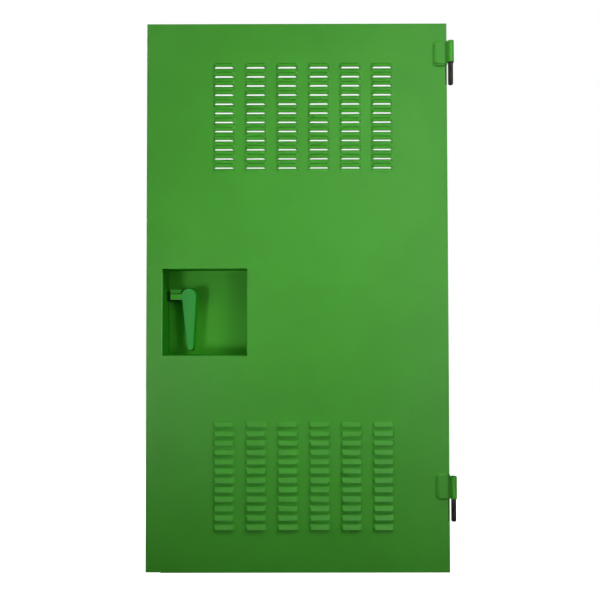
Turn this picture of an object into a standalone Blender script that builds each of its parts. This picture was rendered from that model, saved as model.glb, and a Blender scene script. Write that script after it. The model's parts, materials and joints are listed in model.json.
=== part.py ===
"""Louvred access door of a battery box, with a recessed lever latch and lift-off hinge pins.

Metres, +Z up, the door's front towards -Y. The origin is on the hinge axis, at the lower
barrel's bearing face. The hinge axis lies in the plane of the door's front.
"""

import math

import bmesh
import bpy
from mathutils import Matrix, Vector

MM = 0.001
FIT_GAP = 0.3 * MM              # between pieces that touch or are welded together

# Door sheet
DOOR_WIDTH = 550 * MM
DOOR_HEIGHT = 1000 * MM
SHEET = 2 * MM
FLANGE_DEPTH = 32 * MM          # front face to the back of the returned lips
LIP_WIDTH = 17 * MM
BEND_RADIUS = 1.6 * MM
RELIEF_LENGTH = 27 * MM         # corner relief at the latch side of the bottom fold
RELIEF_HEIGHT = 1.5 * MM

# Hinges
AXIS_TO_EDGE = 6.5 * MM         # hinge axis beyond the door's right edge
BARREL_RADIUS = 6.2 * MM
BARREL_LENGTH = 40.5 * MM
BARREL_BORE = 4.9 * MM
PIN_RADIUS = 4.6 * MM
PIN_EXPOSED = 40.5 * MM
PIN_CHAMFER = 1.2 * MM
LOWER_BARREL_HEIGHT = 133 * MM    # door's bottom edge to the lower bearing face
HINGE_SPACING = 793.5 * MM
LEAF_WIDTH = 26 * MM
LEAF_HEIGHT = 48.5 * MM
LEAF_THICKNESS = 4 * MM
LEAF_CORNER = 6 * MM
UPPER_LEAF_OFFSET = -3 * MM         # leaf centre above the barrel's centre
LOWER_LEAF_OFFSET = 1.8 * MM
DOUBLER_WIDTH = 22 * MM
DOUBLER_HEIGHT = 70 * MM
DOUBLER_THICKNESS = 3 * MM

# Louvres: two fields, pressed forwards and open at the bottom
LOUVRE_COLUMNS = 6
LOUVRE_ROWS = 12
COLUMN_PITCH = 57.65 * MM
ROW_PITCH = 16.76 * MM
FIELD_CENTRE = 286 * MM         # from the door's left edge
UPPER_FIELD_CENTRE = 824.6 * MM     # from the door's bottom edge, at the cut lines
LOWER_FIELD_CENTRE = 170.1 * MM
LOUVRE_LENGTH = 39 * MM         # at the sheet
LOUVRE_LIP_LENGTH = 35 * MM     # at the lip
LOUVRE_HEIGHT = 10.5 * MM
LOUVRE_RISE = 6.5 * MM          # lip's front beyond the sheet
LIP_LIFT = 1.4 * MM             # lip's lower edge above the cut
LIP_HEIGHT = 1.2 * MM

# Latch pocket, from the door's left and bottom edges
POCKET_LEFT = 29.5 * MM
POCKET_BOTTOM = 391.5 * MM
POCKET_WIDTH = 154 * MM
POCKET_HEIGHT = 158 * MM
POCKET_DEPTH = 60 * MM
BOLT_HOLE_HEIGHT = 24 * MM
BOLT_HOLE_FRONT = 42 * MM
BOLT_HOLE_BACK = 57 * MM

# Lever: front outline, opened out towards the back by its draft
PIVOT_LEFT = 73.9 * MM          # from the door's left edge
PIVOT_HEIGHT = 500.4 * MM       # from the door's bottom edge
LEVER_LENGTH = 100 * MM         # pivot to tip
LEVER_HEAD_RADIUS = 13.3 * MM
LEVER_TIP_RADIUS = 5.4 * MM
LEVER_DRAFT = 2.5 * MM
LEVER_LEAN = math.radians(1.4)  # tip towards the hinges when latched
LEVER_FRONT = 22 * MM           # behind the door's front
LEVER_TIP_FRONT = 26 * MM
LEVER_BACK = 40 * MM
LEVER_SWING = math.radians(90)

# Sliding bolt and its drive
BOLT_FRONT = 46 * MM
BOLT_BACK = 52 * MM
BOLT_TOP = 9.5 * MM             # from the pivot's height
BOLT_BOTTOM = -9.5 * MM
BOLT_TIP = 5 * MM               # from the door's left edge, latched
BOLT_TAIL = 10.6 * MM           # beyond the pivot
CRANK_RADIUS = 9.5 * MM
CRANK_PIN_RADIUS = 2 * MM
CRANK_CLEARANCE = 0.35 * MM
SPINDLE_RADIUS = 4 * MM
SLOT_CLEARANCE = 0.4 * MM
BOLT_TRAVEL = CRANK_RADIUS * math.sqrt(2)
PIN_SOCKET_DEPTH = 8 * MM

# Bolt guide: a bracket of two bars, from the pivot
GUIDE_LEFT = -37.9 * MM
GUIDE_STEM = 4 * MM
UPPER_BAR_RIGHT = -17.8 * MM
LOWER_BAR_RIGHT = -11.4 * MM
UPPER_BAR = (5.8 * MM, 13 * MM)
LOWER_BAR = (-6.1 * MM, 4.2 * MM)
GUIDE_FRONT = 41 * MM
GUIDE_PLATE = 4 * MM
GUIDE_GROOVE = 3 * MM           # depth of the slit across the stem
GUIDE_WEB = 3 * MM
GUIDE_INSET = 0.3 * MM           # stem and web inside the bars' outline

# Spindle group
BUSH_COLLAR_RADIUS = 8 * MM
BUSH_RADIUS = 6 * MM
BUSH_BORE = 4.3 * MM
BUSH_BACK = 66 * MM
WASHER_RADIUS = 8 * MM
WASHER_THICKNESS = 1.6 * MM
NUT_FLATS = 13 * MM
NUT_THICKNESS = 7.5 * MM
SPINDLE_PROUD = 2.5 * MM
SPACER_RADIUS = 7 * MM

# Wear plate behind the pocket's left wall
WEAR_PLATE_THICKNESS = 3 * MM
WEAR_PLATE_HEIGHT = 44 * MM
WEAR_PLATE_FRONT = 36 * MM

# Seal strips on the lips
SEAL_WIDTH = 12 * MM
SEAL_THICKNESS = 5 * MM

# Derived places
DOOR_RIGHT = -AXIS_TO_EDGE
DOOR_LEFT = DOOR_RIGHT - DOOR_WIDTH
DOOR_BOTTOM = -LOWER_BARREL_HEIGHT
DOOR_TOP = DOOR_BOTTOM + DOOR_HEIGHT
PIVOT_X = DOOR_LEFT + PIVOT_LEFT
PIVOT_Z = DOOR_BOTTOM + PIVOT_HEIGHT
POCKET_X0 = DOOR_LEFT + POCKET_LEFT
POCKET_Z0 = DOOR_BOTTOM + POCKET_BOTTOM
POCKET_X1 = POCKET_X0 + POCKET_WIDTH
POCKET_Z1 = POCKET_Z0 + POCKET_HEIGHT

GREEN = (0.075, 0.33, 0.05)
BARE_STEEL = (0.028, 0.026, 0.025)
ZINC = (0.42, 0.42, 0.43)
BRONZE = (0.36, 0.22, 0.08)
RUBBER = (0.018, 0.018, 0.018)


def clear_scene():
    for item in list(bpy.data.objects):
        bpy.data.objects.remove(item, do_unlink=True)


def new_collection(name):
    collection = bpy.data.collections.new(name)
    bpy.context.scene.collection.children.link(collection)
    return collection


def material(name, colour, roughness, metallic):
    made = bpy.data.materials.new(name)
    made.use_nodes = True
    shader = made.node_tree.nodes["Principled BSDF"]
    shader.inputs["Base Color"].default_value = (*colour, 1)
    shader.inputs["Roughness"].default_value = roughness
    shader.inputs["Metallic"].default_value = metallic
    return made


clear_scene()
PARTS = new_collection("battery_box_door")
CUTTERS = new_collection("cutters")
PAINT = material("green_paint", GREEN, 0.42, 0.0)
DARK_STEEL = material("dark_steel", BARE_STEEL, 0.35, 0.9)
PLATED = material("zinc_plate", ZINC, 0.4, 1.0)
BEARING_BRONZE = material("bearing_bronze", BRONZE, 0.45, 1.0)
SEAL_RUBBER = material("seal_rubber", RUBBER, 0.85, 0.0)


def add_mesh(name, bm, look, location=(0, 0, 0), collection=None):
    """Make the bmesh an object in the parts' collection and give it its material."""
    bmesh.ops.recalc_face_normals(bm, faces=bm.faces)
    mesh = bpy.data.meshes.new(name)
    bm.to_mesh(mesh)
    bm.free()
    if look:
        mesh.materials.append(look)
    made = bpy.data.objects.new(name, mesh)
    made.location = location
    (collection or PARTS).objects.link(made)
    return made


def box_into(bm, low, high):
    """Add a box between two corners to a bmesh."""
    size = Vector(high) - Vector(low)
    centre = (Vector(high) + Vector(low)) / 2
    place = Matrix.Translation(centre) @ Matrix.Diagonal((*size, 1))
    return bmesh.ops.create_cube(bm, size=1, matrix=place)["verts"]


def box(name, low, high, look=None, collection=None):
    bm = bmesh.new()
    box_into(bm, low, high)
    return add_mesh(name, bm, look, collection=collection)


def rod(name, radius, length, look=None, location=(0, 0, 0), along="Z", sides=32, collection=None):
    """A cylinder from its location towards + along its axis."""
    turn = {
        "Z": Matrix.Identity(4),
        "Y": Matrix.Rotation(math.radians(-90), 4, "X"),
        "X": Matrix.Rotation(math.radians(90), 4, "Y"),
    }[along]
    bm = bmesh.new()
    place = turn @ Matrix.Translation((0, 0, length / 2))
    bmesh.ops.create_cone(
        bm, cap_ends=True, segments=sides, radius1=radius, radius2=radius, depth=length, matrix=place
    )
    return add_mesh(name, bm, look, location, collection)


def turned(name, profile, look, location, along="Z", steps=32):
    """Turn a closed profile of (radius, height) points about an axis through the location."""
    bm = bmesh.new()
    points = [bm.verts.new((radius, 0, height)) for radius, height in profile]
    for first, second in zip(points, points[1:] + points[:1]):
        bm.edges.new((first, second))
    mesh = bpy.data.meshes.new(name)
    bm.to_mesh(mesh)
    bm.free()
    mesh.materials.append(look)
    made = bpy.data.objects.new(name, mesh)
    PARTS.objects.link(made)
    screw = made.modifiers.new("turn", "SCREW")
    screw.steps = steps
    screw.render_steps = steps
    screw.use_merge_vertices = True
    screw.merge_threshold = 0.00001
    screw.use_normal_flip = True
    made.location = location
    if along == "Y":
        made.rotation_euler = (math.radians(-90), 0, 0)
    return made


def as_cutter(cutter):
    cutter.hide_render = True
    cutter.display_type = "WIRE"
    return cutter


def boolean(target, tool, operation):
    as_cutter(tool)
    step = target.modifiers.new(tool.name, "BOOLEAN")
    step.operation = operation
    step.solver = "EXACT"
    step.object = tool
    return step


def cut(target, tool):
    return boolean(target, tool, "DIFFERENCE")


def bevel(target, width, segments=1, angle=30):
    step = target.modifiers.new("edges", "BEVEL")
    step.width = width
    step.segments = segments
    step.limit_method = "ANGLE"
    step.angle_limit = math.radians(angle)
    return step


def smooth(target, angle=35):
    target.data.shade_smooth()
    target.data.set_sharp_from_angle(angle=math.radians(angle))


def plate_from_outline(name, points, thickness, look, collection=None):
    """A flat plate in the XZ plane from its outline, filled both sides and made a mesh."""
    curve = bpy.data.curves.new(name, "CURVE")
    curve.dimensions = "2D"
    curve.fill_mode = "BOTH"
    curve.extrude = thickness / 2
    line = curve.splines.new("POLY")
    line.points.add(len(points) - 1)
    for point, (x, z) in zip(line.points, points):
        point.co = (x, z, 0, 1)
    line.use_cyclic_u = True
    drawn = bpy.data.objects.new(name, curve)
    drawn.rotation_euler = (math.radians(90), 0, 0)
    target = collection or PARTS
    target.objects.link(drawn)
    bpy.context.view_layer.update()
    mesh = bpy.data.meshes.new_from_object(drawn.evaluated_get(bpy.context.evaluated_depsgraph_get()))
    bm = bmesh.new()
    bm.from_mesh(mesh)
    bmesh.ops.remove_doubles(bm, verts=bm.verts, dist=0.000001)
    bmesh.ops.recalc_face_normals(bm, faces=bm.faces)
    bm.to_mesh(mesh)
    bm.free()
    made = bpy.data.objects.new(name, mesh)
    made.matrix_world = drawn.matrix_world.copy()
    bpy.data.objects.remove(drawn, do_unlink=True)
    made.name = name
    if look:
        mesh.materials.append(look)
    target.objects.link(made)
    return made


def arc(centre, radius, start, end, steps):
    """Points of an arc, angles in degrees, both ends included."""
    span = math.radians(end - start)
    angles = [math.radians(start) + span * step / steps for step in range(steps + 1)]
    return [(centre[0] + radius * math.cos(a), centre[1] + radius * math.sin(a)) for a in angles]


# ---------------------------------------------------------------- door sheet


def louvre_places():
    """Middle of each louvre's cut line, as (x, z)."""
    for field in (UPPER_FIELD_CENTRE, LOWER_FIELD_CENTRE):
        for column in range(LOUVRE_COLUMNS):
            x = DOOR_LEFT + FIELD_CENTRE + (column - (LOUVRE_COLUMNS - 1) / 2) * COLUMN_PITCH
            for row in range(LOUVRE_ROWS):
                z = DOOR_BOTTOM + field + (row - (LOUVRE_ROWS - 1) / 2) * ROW_PITCH
                yield x, z


def tapered_block(bm, x, z, half_back, half_front, y_back, y_front, z_low, z_back_top, z_front_top):
    """A box drawn into a wedge: longer and taller at the back than at the front."""
    for vert in bmesh.ops.create_cube(bm, size=2)["verts"]:
        at_back = vert.co.y > 0
        at_top = vert.co.z > 0
        half = half_back if at_back else half_front
        top = z_back_top if at_back else z_front_top
        vert.co = (
            x + math.copysign(half, vert.co.x),
            y_back if at_back else y_front,
            z + (top if at_top else z_low),
        )


def louvre_tools():
    """The raised hoods, and the hollows behind them that open at the bottom."""
    slope = (LOUVRE_HEIGHT - LIP_LIFT - LIP_HEIGHT) / LOUVRE_RISE
    spread = (LOUVRE_LENGTH - LOUVRE_LIP_LENGTH) / 2 / LOUVRE_RISE
    wall = SHEET * 0.8
    root = SHEET / 2
    through = SHEET + 1 * MM
    hoods = bmesh.new()
    hollows = bmesh.new()
    for x, z in louvre_places():
        tapered_block(
            hoods, x, z,
            LOUVRE_LENGTH / 2 + root * spread, LOUVRE_LIP_LENGTH / 2,
            root, -LOUVRE_RISE,
            LIP_LIFT, LOUVRE_HEIGHT + root * slope, LIP_LIFT + LIP_HEIGHT,
        )
        tapered_block(
            hollows, x, z,
            LOUVRE_LENGTH / 2 - wall, LOUVRE_LIP_LENGTH / 2 - wall,
            through, SHEET - LOUVRE_RISE,
            0, LOUVRE_HEIGHT + (through - SHEET) * slope, LIP_LIFT + LIP_HEIGHT,
        )
    hood_tool = add_mesh("louvre_hoods", hoods, None, collection=CUTTERS)
    hollow_tool = add_mesh("louvre_hollows", hollows, None, collection=CUTTERS)
    return hood_tool, hollow_tool


def make_door_skin():
    """A folded tray: front sheet, four flanges and their returned lips, louvres and cut-out."""
    skin = box("door_skin", (DOOR_LEFT, 0, DOOR_BOTTOM), (DOOR_RIGHT, FLANGE_DEPTH, DOOR_TOP), PAINT)
    bevel(skin, BEND_RADIUS)
    inside = box(
        "tray_inside",
        (DOOR_LEFT + SHEET, SHEET, DOOR_BOTTOM + SHEET),
        (DOOR_RIGHT - SHEET, FLANGE_DEPTH - SHEET, DOOR_TOP - SHEET),
        collection=CUTTERS,
    )
    mouth = box(
        "tray_mouth",
        (DOOR_LEFT + LIP_WIDTH, FLANGE_DEPTH / 2, DOOR_BOTTOM + LIP_WIDTH),
        (DOOR_RIGHT - LIP_WIDTH, FLANGE_DEPTH + 5 * MM, DOOR_TOP - LIP_WIDTH),
        collection=CUTTERS,
    )
    window = box(
        "pocket_cutout",
        (POCKET_X0, -5 * MM, POCKET_Z0),
        (POCKET_X1, SHEET + 5 * MM, POCKET_Z1),
        collection=CUTTERS,
    )
    relief = box(
        "corner_relief",
        (DOOR_LEFT - 5 * MM, -5 * MM, DOOR_BOTTOM - 5 * MM),
        (DOOR_LEFT + RELIEF_LENGTH, FLANGE_DEPTH + 5 * MM, DOOR_BOTTOM + RELIEF_HEIGHT),
        collection=CUTTERS,
    )
    hoods, hollows = louvre_tools()
    cut(skin, inside)
    cut(skin, mouth)
    boolean(skin, hoods, "UNION")
    cut(skin, hollows)
    cut(skin, window)
    cut(skin, relief)
    return skin


# --------------------------------------------------------------- latch pocket


def make_latch_pocket():
    """A five-sided welded pan behind the cut-out, with a hole for the bolt in its left wall."""
    front = SHEET + FIT_GAP
    back = POCKET_DEPTH + SHEET
    pan = box(
        "latch_pocket",
        (POCKET_X0 - SHEET, front, POCKET_Z0 - SHEET),
        (POCKET_X1 + SHEET, back, POCKET_Z1 + SHEET),
        PAINT,
    )
    inside = box(
        "pocket_inside",
        (POCKET_X0, front - 5 * MM, POCKET_Z0),
        (POCKET_X1, POCKET_DEPTH, POCKET_Z1),
        collection=CUTTERS,
    )
    bolt_hole = box(
        "bolt_hole",
        (POCKET_X0 - 5 * MM, BOLT_HOLE_FRONT, PIVOT_Z - BOLT_HOLE_HEIGHT / 2),
        (POCKET_X0 + 5 * MM, BOLT_HOLE_BACK, PIVOT_Z + BOLT_HOLE_HEIGHT / 2),
        collection=CUTTERS,
    )
    bush_hole = rod(
        "bush_hole", BUSH_RADIUS + FIT_GAP, 12 * MM,
        location=(PIVOT_X, POCKET_DEPTH - 5 * MM, PIVOT_Z), along="Y", collection=CUTTERS,
    )
    cut(pan, inside)
    cut(pan, bolt_hole)
    cut(pan, bush_hole)
    return pan


def make_wear_plate():
    """A plate on the pan's outside, with a close slot that guides the bolt."""
    right = POCKET_X0 - SHEET - FIT_GAP
    plate = box(
        "bolt_wear_plate",
        (right - WEAR_PLATE_THICKNESS, WEAR_PLATE_FRONT, PIVOT_Z - WEAR_PLATE_HEIGHT / 2),
        (right, POCKET_DEPTH, PIVOT_Z + WEAR_PLATE_HEIGHT / 2),
        PAINT,
    )
    slot = box(
        "wear_slot",
        (right - 8 * MM, BOLT_FRONT - FIT_GAP, PIVOT_Z + BOLT_BOTTOM - FIT_GAP),
        (right + 5 * MM, BOLT_BACK + FIT_GAP, PIVOT_Z + BOLT_TOP + FIT_GAP),
        collection=CUTTERS,
    )
    cut(plate, slot)
    return plate


def make_bolt_guide():
    """Two bars over the bolt, a recessed stem between them, and a web back to the pan."""
    back = GUIDE_FRONT + GUIDE_PLATE
    upper_low, upper_high = UPPER_BAR
    lower_low, lower_high = LOWER_BAR
    inset = GUIDE_INSET

    def at(x, y, z):
        return (PIVOT_X + x, y, PIVOT_Z + z)

    guide = box(
        "bolt_guide",
        at(GUIDE_LEFT, GUIDE_FRONT, upper_low),
        at(UPPER_BAR_RIGHT, back, upper_high),
        PAINT,
    )
    lower_bar = box(
        "lower_bar",
        at(GUIDE_LEFT, GUIDE_FRONT, lower_low),
        at(LOWER_BAR_RIGHT, back, lower_high),
        collection=CUTTERS,
    )
    stem = box(
        "guide_stem",
        at(GUIDE_LEFT + inset, GUIDE_FRONT + GUIDE_GROOVE, (lower_low + lower_high) / 2),
        at(GUIDE_LEFT + GUIDE_STEM, back - inset, (upper_low + upper_high) / 2),
        collection=CUTTERS,
    )
    web = box(
        "guide_web",
        at(GUIDE_LEFT + inset, back - GUIDE_PLATE / 2, upper_high - inset - GUIDE_WEB),
        at(UPPER_BAR_RIGHT - inset, POCKET_DEPTH - FIT_GAP, upper_high - inset),
        collection=CUTTERS,
    )
    for tool in (stem, lower_bar, web):
        boolean(guide, tool, "UNION")
    return guide


def make_pivot_bush():
    """A collared bush through the pan's back wall, with its collar in front."""
    collar_front = BOLT_BACK + SLOT_CLEARANCE
    collar_back = POCKET_DEPTH - FIT_GAP
    profile = [
        (BUSH_BORE, collar_front),
        (BUSH_COLLAR_RADIUS, collar_front),
        (BUSH_COLLAR_RADIUS, collar_back),
        (BUSH_RADIUS, collar_back),
        (BUSH_RADIUS, BUSH_BACK),
        (BUSH_BORE, BUSH_BACK),
    ]
    return turned("pivot_bush", profile, BEARING_BRONZE, (PIVOT_X, 0, PIVOT_Z), "Y")


# ---------------------------------------------------------------- lever group


def lever_outline(extra):
    """Round head, straight tapering sides and round tip, opened out by a distance."""
    head = LEVER_HEAD_RADIUS + extra
    tip = LEVER_TIP_RADIUS + extra
    reach = LEVER_LENGTH - LEVER_TIP_RADIUS
    taper = math.degrees(math.asin((head - tip) / reach))
    top = arc((0, 0), head, -taper, 180 + taper, 16)
    bottom = arc((0, -reach), tip, 180 + taper, 360 - taper, 8)
    return top + bottom


def make_latch_lever(pivot):
    """A drafted lever: two outlines bridged, the front one smaller and set back at the tip."""
    bm = bmesh.new()
    rings = []
    for extra, at_head, at_tip in (
        (0, LEVER_FRONT, LEVER_TIP_FRONT),
        (LEVER_DRAFT, LEVER_BACK - 1 * MM, LEVER_BACK - 1 * MM),
        (LEVER_DRAFT - 1 * MM, LEVER_BACK, LEVER_BACK),
    ):
        verts = []
        for x, z in lever_outline(extra):
            share = min(1.0, max(0.0, -z / LEVER_LENGTH))
            verts.append(bm.verts.new((x, at_head + (at_tip - at_head) * share, z)))
        edges = [bm.edges.new(pair) for pair in zip(verts, verts[1:] + verts[:1])]
        rings.append((verts, edges))
    bmesh.ops.bridge_loops(bm, edges=rings[0][1] + rings[1][1])
    bmesh.ops.bridge_loops(bm, edges=rings[1][1] + rings[2][1])
    for verts, edges in (rings[0], rings[2]):
        bmesh.ops.triangle_fill(bm, edges=edges, use_beauty=True)
    bmesh.ops.rotate(bm, verts=bm.verts, matrix=Matrix.Rotation(-LEVER_LEAN, 3, "Y"))
    lever = add_mesh("latch_lever", bm, PAINT)
    lever.parent = pivot
    spindle_socket = rod(
        "spindle_socket", SPINDLE_RADIUS + FIT_GAP, 12 * MM,
        location=(0, LEVER_BACK - PIN_SOCKET_DEPTH, 0), along="Y", sides=24, collection=CUTTERS,
    )
    crank_socket = rod(
        "crank_socket", CRANK_PIN_RADIUS + FIT_GAP, 12 * MM,
        location=crank_place(LEVER_BACK - PIN_SOCKET_DEPTH), along="Y", sides=16, collection=CUTTERS,
    )
    for socket in (spindle_socket, crank_socket):
        socket.parent = pivot
        cut(lever, socket)
    return lever


def crank_place(y):
    """The crank pin's centre from the pivot when latched: down and to the left."""
    side = CRANK_RADIUS / math.sqrt(2)
    return (-side, y, -side)


def make_lever_group():
    """Everything that turns with the lever, parented to an empty on its axis."""
    pivot = bpy.data.objects.new("lever_axis", None)
    pivot.location = (PIVOT_X, 0, PIVOT_Z)
    PARTS.objects.link(pivot)
    make_latch_lever(pivot)
    socket_floor = LEVER_BACK - PIN_SOCKET_DEPTH + FIT_GAP
    washer_front = BUSH_BACK + FIT_GAP
    nut_front = washer_front + WASHER_THICKNESS + FIT_GAP
    spindle_end = nut_front + NUT_THICKNESS + SPINDLE_PROUD
    spindle = rod(
        "lever_spindle", SPINDLE_RADIUS, spindle_end - socket_floor, PLATED,
        (0, socket_floor, 0), "Y",
    )
    crank = rod(
        "crank_pin", CRANK_PIN_RADIUS, BOLT_BACK - 0.5 * MM - socket_floor, DARK_STEEL,
        crank_place(socket_floor), "Y", 16,
    )
    spacer = turned(
        "lever_spacer",
        ring_profile(BUSH_BORE, SPACER_RADIUS, LEVER_BACK + FIT_GAP, BOLT_FRONT - SLOT_CLEARANCE),
        PLATED, (0, 0, 0), "Y", 24,
    )
    washer = turned(
        "spindle_washer",
        ring_profile(BUSH_BORE, WASHER_RADIUS, washer_front, washer_front + WASHER_THICKNESS),
        PLATED, (0, 0, 0), "Y", 24,
    )
    nut = rod(
        "spindle_nut", NUT_FLATS / math.sqrt(3), NUT_THICKNESS, PLATED, (0, nut_front, 0), "Y", 6,
    )
    nut_bore = rod(
        "nut_bore", BUSH_BORE, NUT_THICKNESS + 10 * MM,
        location=(0, nut_front - 5 * MM, 0), along="Y", sides=24, collection=CUTTERS,
    )
    cut(nut, nut_bore)
    for piece in (spindle, crank, spacer, washer, nut, nut_bore):
        piece.parent = pivot


def ring_profile(inner, outer, low, high):
    return [(inner, low), (outer, low), (outer, high), (inner, high)]


def make_slide_bolt():
    """A flat bar with a slot for the spindle and a notch that the crank pin drives."""
    tip = DOOR_LEFT + BOLT_TIP - PIVOT_X
    corner = 3 * MM
    nose = 6 * MM
    outline = [
        (tip, BOLT_BOTTOM + nose),
        (tip + nose / 2, BOLT_BOTTOM),
        (BOLT_TAIL - corner, BOLT_BOTTOM),
        (BOLT_TAIL, BOLT_BOTTOM + corner),
        (BOLT_TAIL, BOLT_TOP - corner),
        (BOLT_TAIL - corner, BOLT_TOP),
        (tip + nose / 2, BOLT_TOP),
        (tip, BOLT_TOP - nose),
    ]
    bolt = plate_from_outline("slide_bolt", outline, BOLT_BACK - BOLT_FRONT, DARK_STEEL)
    bolt.location = (PIVOT_X, (BOLT_FRONT + BOLT_BACK) / 2, PIVOT_Z)
    reach = SPINDLE_RADIUS + SLOT_CLEARANCE
    slot_outline = arc((0, 0), reach, -90, 90, 8) + arc((-BOLT_TRAVEL, 0), reach, 90, 270, 8)
    slot = plate_from_outline("spindle_slot", slot_outline, 20 * MM, None, CUTTERS)
    slot.location = bolt.location
    notch_half = CRANK_PIN_RADIUS + CRANK_CLEARANCE
    crank_x, _, _ = crank_place(0)
    notch = box(
        "crank_notch",
        (PIVOT_X + crank_x - notch_half, BOLT_FRONT - 5 * MM, PIVOT_Z + BOLT_BOTTOM - 5 * MM),
        (PIVOT_X + crank_x + notch_half, BOLT_BACK + 5 * MM, PIVOT_Z),
        collection=CUTTERS,
    )
    cut(bolt, slot)
    cut(bolt, notch)
    return bolt


# --------------------------------------------------------------------- hinges


def make_hinge(prefix, bearing_z, leaf_offset):
    """A weld-on leaf in front of the sheet, a barrel, its fixed pin and a doubler inside."""
    middle = bearing_z + BARREL_LENGTH / 2
    edge = 0.8 * MM
    barrel_profile = [
        (BARREL_BORE, bearing_z),
        (BARREL_RADIUS, bearing_z),
        (BARREL_RADIUS, bearing_z + BARREL_LENGTH - edge),
        (BARREL_RADIUS - edge, bearing_z + BARREL_LENGTH),
        (BARREL_BORE, bearing_z + BARREL_LENGTH),
    ]
    smooth(turned(prefix + "_hinge_barrel", barrel_profile, PAINT, (0, 0, 0)))

    pin_low = bearing_z - PIN_EXPOSED
    pin_high = bearing_z + BARREL_LENGTH - 1 * MM
    pin = rod(
        prefix + "_hinge_pin", PIN_RADIUS, pin_high - pin_low, DARK_STEEL, (0, 0, pin_low)
    )
    bevel(pin, PIN_CHAMFER, 1, 60)
    smooth(pin)

    leaf_right = -BARREL_RADIUS - FIT_GAP
    leaf_left = DOOR_RIGHT - LEAF_WIDTH
    leaf_z = middle + leaf_offset
    low = leaf_z - LEAF_HEIGHT / 2
    high = leaf_z + LEAF_HEIGHT / 2
    outline = [(leaf_right, low), (leaf_right, high)]
    outline += arc((leaf_left + LEAF_CORNER, high - LEAF_CORNER), LEAF_CORNER, 90, 180, 4)
    outline += arc((leaf_left + LEAF_CORNER, low + LEAF_CORNER), LEAF_CORNER, 180, 270, 4)
    leaf = plate_from_outline(prefix + "_hinge_leaf", outline, LEAF_THICKNESS, PAINT)
    leaf.location.y = -LEAF_THICKNESS / 2 - FIT_GAP

    inner = DOOR_RIGHT - SHEET - FIT_GAP
    front = SHEET + FIT_GAP
    box(
        prefix + "_hinge_doubler",
        (inner - DOUBLER_WIDTH, front, middle - DOUBLER_HEIGHT / 2),
        (inner, front + DOUBLER_THICKNESS, middle + DOUBLER_HEIGHT / 2),
        PAINT,
    )


# ----------------------------------------------------------------------- seal


def make_seal():
    """Four strips on the lips, butted at the corners."""
    inset = (LIP_WIDTH - SEAL_WIDTH) / 2
    front = FLANGE_DEPTH + FIT_GAP
    back = front + SEAL_THICKNESS
    left = DOOR_LEFT + inset
    right = DOOR_RIGHT - inset
    low = DOOR_BOTTOM + inset
    high = DOOR_TOP - inset
    box("seal_left", (left, front, low), (left + SEAL_WIDTH, back, high), SEAL_RUBBER)
    box("seal_right", (right - SEAL_WIDTH, front, low), (right, back, high), SEAL_RUBBER)
    inner_left = left + SEAL_WIDTH + FIT_GAP
    inner_right = right - SEAL_WIDTH - FIT_GAP
    box("seal_bottom", (inner_left, front, low), (inner_right, back, low + SEAL_WIDTH), SEAL_RUBBER)
    box("seal_top", (inner_left, front, high - SEAL_WIDTH), (inner_right, back, high), SEAL_RUBBER)


make_door_skin()
make_latch_pocket()
make_wear_plate()
make_bolt_guide()
make_pivot_bush()
make_lever_group()
make_slide_bolt()
make_hinge("upper", HINGE_SPACING, UPPER_LEAF_OFFSET)
make_hinge("lower", 0.0, LOWER_LEAF_OFFSET)
make_seal()
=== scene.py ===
"""Looks of the louvred battery box door: fine sheet metal, latch, hinges, welds, finishes and light.

Metres, +Z up, the door's front towards -Y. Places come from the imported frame.
"""

import json
import math

import bmesh
import bpy
from mathutils import Matrix, Vector


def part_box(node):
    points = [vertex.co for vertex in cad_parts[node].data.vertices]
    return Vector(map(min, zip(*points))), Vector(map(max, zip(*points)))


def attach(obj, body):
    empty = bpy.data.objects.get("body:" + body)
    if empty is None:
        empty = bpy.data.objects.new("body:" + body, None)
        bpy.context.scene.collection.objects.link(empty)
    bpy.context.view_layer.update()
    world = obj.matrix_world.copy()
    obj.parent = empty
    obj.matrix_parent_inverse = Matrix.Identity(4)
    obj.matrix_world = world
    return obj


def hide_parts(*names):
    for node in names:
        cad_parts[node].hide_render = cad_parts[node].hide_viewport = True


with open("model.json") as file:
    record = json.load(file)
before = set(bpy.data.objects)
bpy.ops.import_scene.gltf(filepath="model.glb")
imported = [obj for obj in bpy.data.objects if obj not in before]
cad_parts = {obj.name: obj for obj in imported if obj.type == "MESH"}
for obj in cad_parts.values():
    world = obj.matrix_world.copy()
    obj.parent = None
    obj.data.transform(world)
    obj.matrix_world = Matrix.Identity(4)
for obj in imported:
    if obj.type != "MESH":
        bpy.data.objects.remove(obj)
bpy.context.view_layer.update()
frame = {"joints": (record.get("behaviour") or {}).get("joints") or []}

MM = 0.001

# ------------------------------------------------------------------ places

SKIN_LOW, SKIN_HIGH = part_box("door_skin")
PAN_LOW, PAN_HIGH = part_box("latch_pocket")
GUIDE_LOW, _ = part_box("bolt_guide")
BOLT_LOW, BOLT_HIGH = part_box("slide_bolt")
LEVER_LOW, LEVER_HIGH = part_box("latch_lever")
SPINDLE_LOW, SPINDLE_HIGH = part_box("lever_spindle")
NUT_LOW, NUT_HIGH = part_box("spindle_nut")
HINGES = ("upper", "lower")
PIN_SPANS = [tuple(end.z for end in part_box(hinge + "_hinge_pin")) for hinge in HINGES]
PIVOT = Vector(frame["joints"][0]["pos_m"])

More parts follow.
